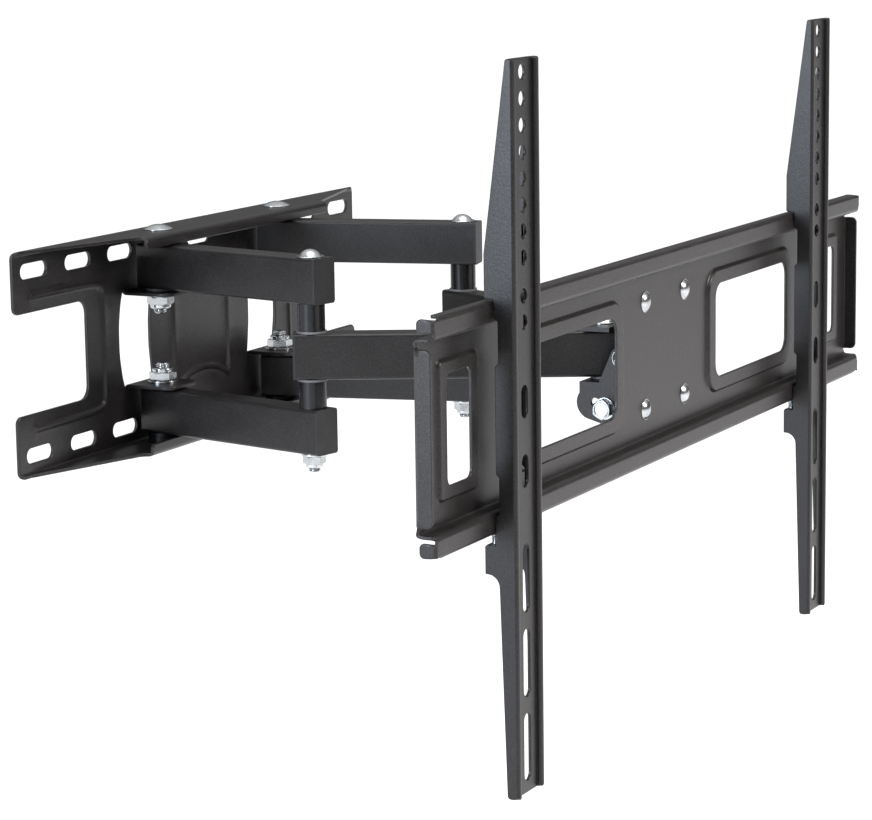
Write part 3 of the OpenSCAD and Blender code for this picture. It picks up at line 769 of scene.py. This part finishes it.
def bracket(row_x, ear=False):
    """A channel open to the back: side walls, rolled edges and a recessed web with the holes."""
    bend, land = 1.15, 0.7
    edge_run = 3 * bend * math.pi / 2 + 2 * land
    wall_back, wall = 4.5, 18.35         # the side walls' back ends, and their length up to the rolled edge
    web_left, web_right = -13.35, 12.35
    section = Profile(
        (-17.5, wall_back), 90,
        [
            (wall,), (bend, -90), (land,), (bend, -90), (land,), (bend, 90), (web_right - web_left,),
            (bend, 90), (land,), (bend, -90), (land,), (bend, -90), (wall,),
        ],
        zero=wall + edge_run - web_left,
    )

    def left(forward):
        return web_left - edge_run - (wall_back + wall - forward)

    def right(forward):
        return web_right + edge_run + (wall_back + wall - forward)

    seat = 11.4                          # the walls' back edge where they rest on the plate's rails
    relief = arc(6, -98.5, 7.5, 0, 90, 8)
    edge_line = [
        (21.5, BRACKET_LOW), (17.3, BRACKET_LOW), (13.6, -101), *relief, (4.5, -91), (4.5, -74),
        (seat, -74), (seat, -57), (seat + 2.5, -55), (seat + 2.5, -34), (seat + 0.5, -32), (seat + 0.5, 30),
        (seat + 2.5, 32), (seat + 2.5, 56), (seat, 58), (seat, 68.6), (5.5, 68.6), (5.5, 94), (20, BRACKET_HIGH),
    ]
    radii = [0, 2.2, 0, *[0] * len(relief), 1.2, 1.2, 0.6, 1.5, *[1.0] * 6, 1.5, 0.6, 1.5, 8, 1.5]
    outline = [(right(f), z) for f, z in edge_line] + [(left(f), z) for f, z in edge_line[::-1]]
    outline = round_corners(outline, radii + radii[::-1], 5)
    levels = [FIRST_HOLE - HOLE_STEP * i for i in range(HOLES_ABOVE)] + [*HOLES_BELOW]
    holes = [circle_loop(0, z, HOLE_R) for z in levels]
    holes += [slot_loop(0, z, 19, SLOT_W, along_y=True) for z in SHORT_SLOTS]
    holes += [slot_loop(0, z, 40.5, SLOT_W, along_y=True) for z in LONG_SLOTS]

    def place(v, u, n):
        across = section.place(u, n)
        return np.stack([across[:, 0] + row_x, -(across[:, 1] + SCREEN), v], 1)

    # the bends run along v here, so the sheet is cut with u and v changed over
    def swapped(loop):
        return [(v, u) for u, v in loop]

    channel = sheet_mesh(
        swapped(outline), [swapped(h) for h in holes], SCREEN_T, place, rows=section.rows(6), grid=9.0, edge=0.5,
    )
    # a shelf bent in from the left wall holds the lock screw
    shelf = sheet_mesh(
        rounded_rect(row_x - 9.5, 9.25, 8.0, 4.75, 1.2), [circle_loop(row_x + SCREW_SIDE, SCREW_FORWARD, 2.6)],
        SCREEN_T, lambda u, v, n: np.stack([u, -(v + SCREEN), -75.0 + n], 1), grid=4.0, edge=0.4,
    )
    parts = [flipped(channel), flipped(shelf)]
    if ear:
        plate = sheet_mesh(
            rounded_rect(row_x + 18.9, 97.0, 3.4, 21.0, 2.6), [circle_loop(row_x + 19.4, 110.0, 1.3)],
            SCREEN_T, lambda u, v, n: np.stack([u, -(14.0 - n + SCREEN), v], 1), grid=4.0, edge=0.4,
        )
        parts.append(flipped(plate))
    return joined(*parts)


piece("left_bracket_sheet", bracket(LEFT_ROW, ear=True), COAT, "left_bracket", ["left_screen_bracket"])
piece("right_bracket_sheet", bracket(RIGHT_ROW), COAT, "right_bracket", ["right_screen_bracket"])

# ------------------------------------------------------------------ turned and hexagonal hardware

AROUND = 72                              # points round a turned part
THREAD_DEPTH = 0.6                       # of the pitch
CHAMFER = 0.577                          # rise of a nut's chamfer, tan 30 degrees


def lathe(path, closed=False):
    """A turned body along local Z, from path points (radius, z, form).

    A form above 0 is a hexagon's width over flats that trims the radius, below 0 a thread's pitch, and 0 is plain.
    """
    theta = np.arange(AROUND) * 2 * math.pi / AROUND
    rings = []
    for r, z, form in path:
        radius = np.full(AROUND, float(r))
        if form > 0:
            swing = (theta + 1e-9) % (math.pi / 3) - math.pi / 6
            radius = np.minimum(radius, form / 2 / np.cos(swing))
        elif form < 0:
            turn = (z / -form - theta / (2 * math.pi)) % 1.0
            radius = radius + THREAD_DEPTH * form * np.abs(turn * 2 - 1)
        rings.append(np.stack([radius * np.cos(theta), radius * np.sin(theta), np.full(AROUND, float(z))], 1))
    points, faces, start, count = [], [], [], len(path)
    for (r, _, _), ring in zip(path, rings):
        start.append(sum(len(p) for p in points))
        points.append(ring[:1] * [0, 0, 1] if r == 0 else ring)
    pairs = [(i, i + 1) for i in range(count - 1)] + ([(count - 1, 0)] if closed else [])
    for i, j in pairs:
        a, b = start[i], start[j]
        for k in range(AROUND):
            m = (k + 1) % AROUND
            if path[i][0] == 0:
                faces.append((a, b + m, b + k))
            elif path[j][0] == 0:
                faces.append((a + k, a + m, b))
            else:
                faces.append((a + k, a + m, b + m, b + k))
    return np.vstack(points), faces


def washer_path(inner, outer, z0, z1, ease=0.25):
    """A flat washer with its outer edges eased."""
    return [
        (inner, z0, 0), (outer - ease, z0, 0), (outer - ease * 0.3, z0 + ease * 0.3, 0), (outer, z0 + ease, 0),
        (outer, z1 - ease, 0), (outer - ease * 0.3, z1 - ease * 0.3, 0), (outer - ease, z1, 0), (inner, z1, 0),
    ]


def nut_path(flats, height, bore):
    """A lock nut: chamfered hexagon with a rounded collar on its far end."""
    corner = flats / math.sqrt(3)
    low, high = flats * 0.47, height * 0.70
    path = [(bore, 0.0, 0), (low - 0.3, 0.0, 0)]
    for t in (0, 0.2, 0.4, 0.6, 0.8, 1.0):
        r = low + (corner + 0.02 - low) * t
        path.append((r, (r - low) * CHAMFER + 0.05, flats))
    for t in (0, 0.2, 0.4, 0.6, 0.8, 1.0):
        r = corner + 0.02 - (corner + 0.02 - low) * t
        path.append((r, high - (r - low) * CHAMFER, flats))
    collar, soft = flats * 0.44, 0.9
    path += [(collar, high + 0.05, 0), (collar, height - soft, 0)]
    for t in (0.25, 0.5, 0.75, 1.0):
        a = t * math.pi / 2
        path.append((collar - soft + soft * math.cos(a), height - soft + soft * math.sin(a), 0))
    path += [(bore + 0.5, height, 0), (bore + 0.3, height - 0.5, 0), (bore, height - 0.7, 0)]
    return path


def tip_path(radius, z_end, z_thread, pitch):
    """From the tip of a threaded end up to where its thread ends."""
    depth = radius - THREAD_DEPTH * pitch
    path = [(0, z_end, 0), (depth - 0.5, z_end, 0), (depth, z_end + 0.4, 0)]
    steps = max(4, int((z_thread - z_end - 0.8) / (pitch / 6)))
    for i in range(steps + 1):
        z = z_end + 0.6 + (z_thread - z_end - 0.6) * i / steps
        path.append((min(radius, depth + 0.2 + (z - z_end - 0.5) * 1.2), z, -pitch))
    return path


def dome_path(radius, z0, height, lip=0.7, flange=0.45):
    """A round head over a shank, from under the head to its crown, with a flange outside the dome."""
    path = [(radius - 0.2, z0, 0), (radius, z0 + 0.2, 0), (radius, z0 + lip - 0.15, 0), (radius - 0.15, z0 + lip, 0)]
    rise = height - lip
    base = radius - flange
    ball = (base * base + rise * rise) / (2 * rise)
    top = math.asin(min(1.0, base / ball)) if rise < base else math.pi / 2
    path.append(((radius - 0.15 + base) / 2, z0 + lip + 0.02, 0))
    for i in range(9):
        a = top * (1 - i / 9)
        path.append((ball * math.sin(a), z0 + height - ball + ball * math.cos(a), 0))
    path.append((0, z0 + height, 0))
    return path


def hex_head_path(flats, z0, height, dish=0.45):
    """A hexagon head over a shank, with a dished top."""
    corner = flats / math.sqrt(3)
    low = flats * 0.475
    path = [(low, z0, 0), (corner, z0 + 0.25, flats)]
    for t in (0, 0.25, 0.5, 0.75, 1.0):
        r = corner + 0.02 - (corner + 0.02 - low) * t
        path.append((r, z0 + height - (r - low) * CHAMFER, flats))
    rim = flats * 0.40
    path += [(rim + 0.25, z0 + height, 0), (rim, z0 + height - 0.12, 0), (rim - 0.35, z0 + height - dish, 0)]
    path += [(rim - 0.9, z0 + height - dish - 0.05, 0), (0, z0 + height - dish - 0.05, 0)]
    return path


def aimed(part, place, axis):
    """The part turned so that its local Z runs along axis, then put in place, both as (x, forward, up) in mm."""
    points, faces = part
    z = np.array([axis[0], -axis[1], axis[2]], float)
    x = np.array([1.0, 0, 0]) if abs(z[0]) < 0.5 else np.array([0, 0, 1.0])
    y = np.cross(z, x)
    turn = np.stack([x, y, z])
    return points @ turn + np.array([place[0], -place[1], place[2]]), faces


def hardware(node, parts):
    body = frame["nodes"][node]["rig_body"]
    piece(node + "_made", joined(*parts), ZINC, body, [node], smooth=32)


def shank(radius, z_tip, z_thread, z_head, pitch):
    """A threaded end and a plain shank, up to just under the head."""
    return tip_path(radius, z_tip, z_thread, pitch) + [(radius, z_thread + 0.5, 0), (radius, z_head - 0.1, 0)]


UP, DOWN = (0, 0, 1), (0, 0, -1)
FORWARD, BACK = (0, 1, 0), (0, -1, 0)

wall_bolts, wall_nuts, wall_washers = [], [], []
wall_bolt = lathe(
    shank(5.0, z_tip=17.0, z_thread=27.0, z_head=WALL_Z, pitch=1.5) + dome_path(10.2, WALL_Z, 3.6, 0.6)
)
wall_nut = lathe(nut_path(flats=16.0, height=8.4, bore=4.6), closed=True)
wall_washer = lathe(washer_path(5.2, 10.5, 0, 1.6), closed=True)
for x in (-WALL_PIVOT_X, WALL_PIVOT_X):
    for way in (1, -1):
        out, back_in = (0, 0, way), (0, 0, -way)
        wall_bolts.append(aimed(wall_bolt, (x, WALL_PIVOT, 0), out))
        wall_nuts.append(aimed(wall_nut, (x, WALL_PIVOT, way * 28.9), back_in))
        wall_washers.append(aimed(wall_washer, (x, WALL_PIVOT, way * 30.5), back_in))
hardware("wall_pivot_bolts", wall_bolts)
hardware("wall_pivot_nuts", wall_nuts)
hardware("wall_pivot_washers", wall_washers)

for side in ("left", "right"):
    (x0, y0, z_tip), (x1, y1, _) = box_mm(side + "_elbow_bolt")
    at = (round((x0 + x1) / 2, 3), -round((y0 + y1) / 2, 3), 0)
    z_nut = -66.1
    bolt = lathe(shank(4.0, z_tip, z_thread=-68.0, z_head=64.5, pitch=1.25) + dome_path(9.2, 64.5, 5.2, 0.8, 1.9))
    nut = lathe(nut_path(flats=13.0, height=8.0, bore=3.7), closed=True)
    washer = lathe(washer_path(4.2, 8.5, z_nut, z_nut + 1.6), closed=True)
    hardware(side + "_elbow_bolt", [aimed(bolt, at, UP)])
    hardware(side + "_elbow_nut", [aimed(nut, (at[0], at[1], z_nut), DOWN), aimed(washer, at, UP)])

head_bolts, head_nuts = [], []
head_bolt = lathe(
    shank(4.0, z_tip=-31.1, z_thread=-22.0, z_head=19.5, pitch=1.25) + dome_path(9.2, 19.5, 4.6, 0.8, 1.9)
)
head_washer = lathe(washer_path(4.2, 8.5, -21.1, -19.5), closed=True)
head_nut = lathe(nut_path(flats=13.0, height=7.0, bore=3.7), closed=True)
for x in (-28, 28):
    head_bolts.append(aimed(head_bolt, (x, HEAD, 0), UP))
    head_nuts.append(aimed(head_washer, (x, HEAD, 0), UP))
    head_nuts.append(aimed(head_nut, (x, HEAD, -21.1), DOWN))
hardware("head_pivot_bolts", head_bolts)
hardware("head_pivot_nuts", head_nuts)

TILT = HEAD + 21.0                       # axis of the screen's tilt, forward of the wall
EAR_OUT = 50.05                          # outer face of the tilt bracket's ears, across
LOCK_BACK, LOCK_LOW = 11.0, 33.0         # the lock bolts lie this far behind and under the tilt axis
pivot_bolt = lathe([(0, 43.6, 0), (3.0, 43.6, 0), (3.0, 49.9, 0)] + dome_path(6.0, EAR_OUT, 3.0, 0.5))
lock_bolt = lathe(
    tip_path(3.0, 37.1, 43.0, 1.0) + [(3.0, 43.5, 0), (3.0, 51.5, 0)] + hex_head_path(12.0, EAR_OUT + 1.6, 5.0)
)
lock_nut = lathe(nut_path(flats=10.0, height=5.0, bore=2.8), closed=True)
lock_washer = lathe(washer_path(3.2, 7.2, EAR_OUT, EAR_OUT + 1.6), closed=True)
pivots, locks, lock_nuts, lock_washers = [], [], [], []
for way in (-1, 1):
    out, back_in = (way, 0, 0), (-way, 0, 0)
    at = (0, TILT - LOCK_BACK, -LOCK_LOW)
    pivots.append(aimed(pivot_bolt, (0, TILT, 0), out))
    locks.append(aimed(lock_bolt, at, out))
    lock_nuts.append(aimed(lock_nut, (way * 44.1, at[1], at[2]), back_in))
    lock_washers.append(aimed(lock_washer, at, out))
hardware("tilt_pivot_bolts", pivots)
hardware("tilt_lock_bolts", locks)
hardware("tilt_lock_nuts", lock_nuts)
hardware("tilt_lock_washers", lock_washers)

carriage_bolts, carriage_nuts = [], []
carriage_bolt = lathe(
    tip_path(3.0, -12.0, -4.0, 1.0) + [(3.0, -3.6, 0), (3.0, -0.1, 0)] + dome_path(6.9, 0.0, 3.3, 0.45)
)
carriage_nut = lathe(nut_path(flats=10.0, height=5.0, bore=2.8), closed=True)
for x in (-33, 33):
    for z in (-35, 35):
        carriage_bolts.append(aimed(carriage_bolt, (x, SCREEN, z), FORWARD))
        carriage_nuts.append(aimed(carriage_nut, (x, SCREEN - 4.5, z), BACK))
hardware("plate_carriage_bolts", carriage_bolts)
hardware("plate_carriage_nuts", carriage_nuts)

lock_screw = lathe(
    tip_path(2.5, 68.3, 84.0, 0.8) + [(2.5, 84.3, 0), (2.5, 84.9, 0)] + dome_path(4.5, 85.0, 4.0, 2.4)
)
for node, row_x in (("left_lock_screw", LEFT_ROW), ("right_lock_screw", RIGHT_ROW)):
    hardware(node, [aimed(lock_screw, (row_x + SCREW_SIDE, SCREEN + SCREW_FORWARD, 0), DOWN)])

# ------------------------------------------------------------------ carried-over CAD nodes


CAD_EDGE, CAP_EDGE = 0.35, 1.1            # mm of bevel on CAD edges and on the moulded end caps


def cad_finish(node, mat, width):
    """A shown CAD node's material, with its flat faces merged and its edges softened."""
    obj = frame["nodes"][node]
    obj.data.materials.clear()
    obj.data.materials.append(mat)
    flat = obj.modifiers.new("flat", "DECIMATE")
    flat.decimate_type = "DISSOLVE"
    flat.angle_limit = math.radians(0.6)
    soft = obj.modifiers.new("soft_edges", "BEVEL")
    soft.width = width * MM
    soft.segments = 2
    soft.limit_method = "ANGLE"
    soft.angle_limit = math.radians(40)
    soft.harden_normals = False
    weighted = obj.modifiers.new("weighted", "WEIGHTED_NORMAL")
    weighted.keep_sharp = True


SLOTS = {"powder_coat": COAT, "zinc": ZINC, "plastic": PLASTIC}
by_slot = {s["node"]: s["material_slot"] for s in frame["record"]["subparts"]}
for name, obj in frame["nodes"].items():
    if obj.hide_render:
        continue
    mat = SLOTS[by_slot[name]]
    if "slip_washers" in name:
        mat = WASHER
    elif "spacers" in name:
        mat = SPACER
    cad_finish(name, mat, CAP_EDGE if "end_caps" in name else CAD_EDGE)

# ------------------------------------------------------------------ floor, light, camera

VIEW_AZ, VIEW_EL, VIEW_ROLL = -1.0997, 0.1724, -0.0142      # radians: left of the front, up, leaning
VIEW_FROM = Vector((-1.782799, -1.095838, 0.296476))
SENSOR = 36.0
LENS = 3.417385 * SENSOR                                    # focal length, as a multiple of the image's width


def add_camera():
    level = math.cos(VIEW_EL)
    back = Vector((math.sin(VIEW_AZ) * level, -math.cos(VIEW_AZ) * level, math.sin(VIEW_EL)))
    side = Vector((math.cos(VIEW_AZ), math.sin(VIEW_AZ), 0.0))
    up = back.cross(side)
    c, s = math.cos(VIEW_ROLL), math.sin(VIEW_ROLL)
    side, up = c * side + s * up, c * up - s * side
    data = bpy.data.cameras.new("camera")
    data.sensor_width = SENSOR
    data.lens = LENS
    data.clip_start, data.clip_end = 0.05, 60.0
    camera = bpy.data.objects.new("camera", data)
    camera.matrix_world = Matrix.Translation(VIEW_FROM) @ Matrix((side, up, back)).transposed().to_4x4()
    bpy.context.scene.collection.objects.link(camera)
    bpy.context.scene.camera = camera


add_camera()


def backdrop():
    mat, nodes, links, shader, coord = material("pale_floor", (0.86, 0.86, 0.86), 0.8, specular=0.1)
    cloud = noise(nodes, links, coord, scale=2, detail=2, rough=0.5)
    tone = ramp(nodes, links, cloud.outputs["Fac"], [(0.3, (0.85,) * 3), (0.7, (0.87,) * 3)])
    links.new(tone.outputs["Color"], shader.inputs["Base Color"])
    mesh = bpy.data.meshes.new("floor")
    reach, z = 30.0, -0.55
    corners = [(x * reach, y * reach, z) for x, y in ((-1, -1), (1, -1), (1, 1), (-1, 1))]
    mesh.from_pydata(corners, [], [(0, 1, 2, 3)])
    mesh.materials.append(mat)
    floor = bpy.data.objects.new("floor", mesh)
    bpy.context.scene.collection.objects.link(floor)


backdrop()


def area_light(name, place, aim, power, width, height, tint):
    data = bpy.data.lights.new(name, "AREA")
    data.color = tint
    data.energy = power
    data.shape = "RECTANGLE"
    data.size, data.size_y = width, height
    obj = bpy.data.objects.new(name, data)
    obj.location = place
    obj.rotation_euler = (Vector(aim) - Vector(place)).to_track_quat("-Z", "Y").to_euler()
    bpy.context.scene.collection.objects.link(obj)


def overhead_light(strength, spread, lean_x, lean_y):
    data = bpy.data.lights.new("overhead", "SUN")
    data.energy = strength
    data.angle = math.radians(spread)
    obj = bpy.data.objects.new("overhead", data)
    obj.rotation_euler = (math.radians(lean_x), math.radians(lean_y), 0)
    bpy.context.scene.collection.objects.link(obj)


def studio_world():
    """A dim band along the horizon rising to a bright top lights the object, and the camera sees plain white."""
    world = bpy.data.worlds.new("studio")
    bpy.context.scene.world = world
    world.use_nodes = True
    nodes, links = world.node_tree.nodes, world.node_tree.links
    coord = nodes.new("ShaderNodeTexCoord")
    axes = nodes.new("ShaderNodeSeparateXYZ")
    links.new(coord.outputs["Generated"], axes.inputs["Vector"])
    sky = ramp(
        nodes, links, axes.outputs["Z"],
        [(0.0, (0.16,) * 3), (0.22, (0.12,) * 3), (0.5, (0.55,) * 3), (1.0, (1.0,) * 3)],
    )
    seen = nodes.new("ShaderNodeLightPath")
    shown = nodes.new("ShaderNodeMix")
    shown.data_type = "RGBA"
    shown.inputs["B"].default_value = (1.0, 1.0, 1.0, 1.0)
    links.new(seen.outputs["Is Camera Ray"], shown.inputs["Factor"])
    links.new(sky.outputs["Color"], shown.inputs["A"])
    links.new(shown.outputs["Result"], nodes["Background"].inputs["Color"])
    nodes["Background"].inputs["Strength"].default_value = 1.0


WARM, COOL = (1.0, 0.92, 0.89), (0.78, 0.87, 1.0)
area_light("key", (0.6, -3.2, 1.7), aim=(0, -0.2, 0), power=84, width=1.0, height=1.0, tint=WARM)
area_light("left", (-3.1, 0.7, 0.7), aim=(0, -0.1, 0), power=84, width=0.8, height=1.6, tint=COOL)
overhead_light(strength=1.9, spread=50, lean_x=8, lean_y=-6)
studio_world()
bpy.context.scene.view_settings.view_transform = "Standard"
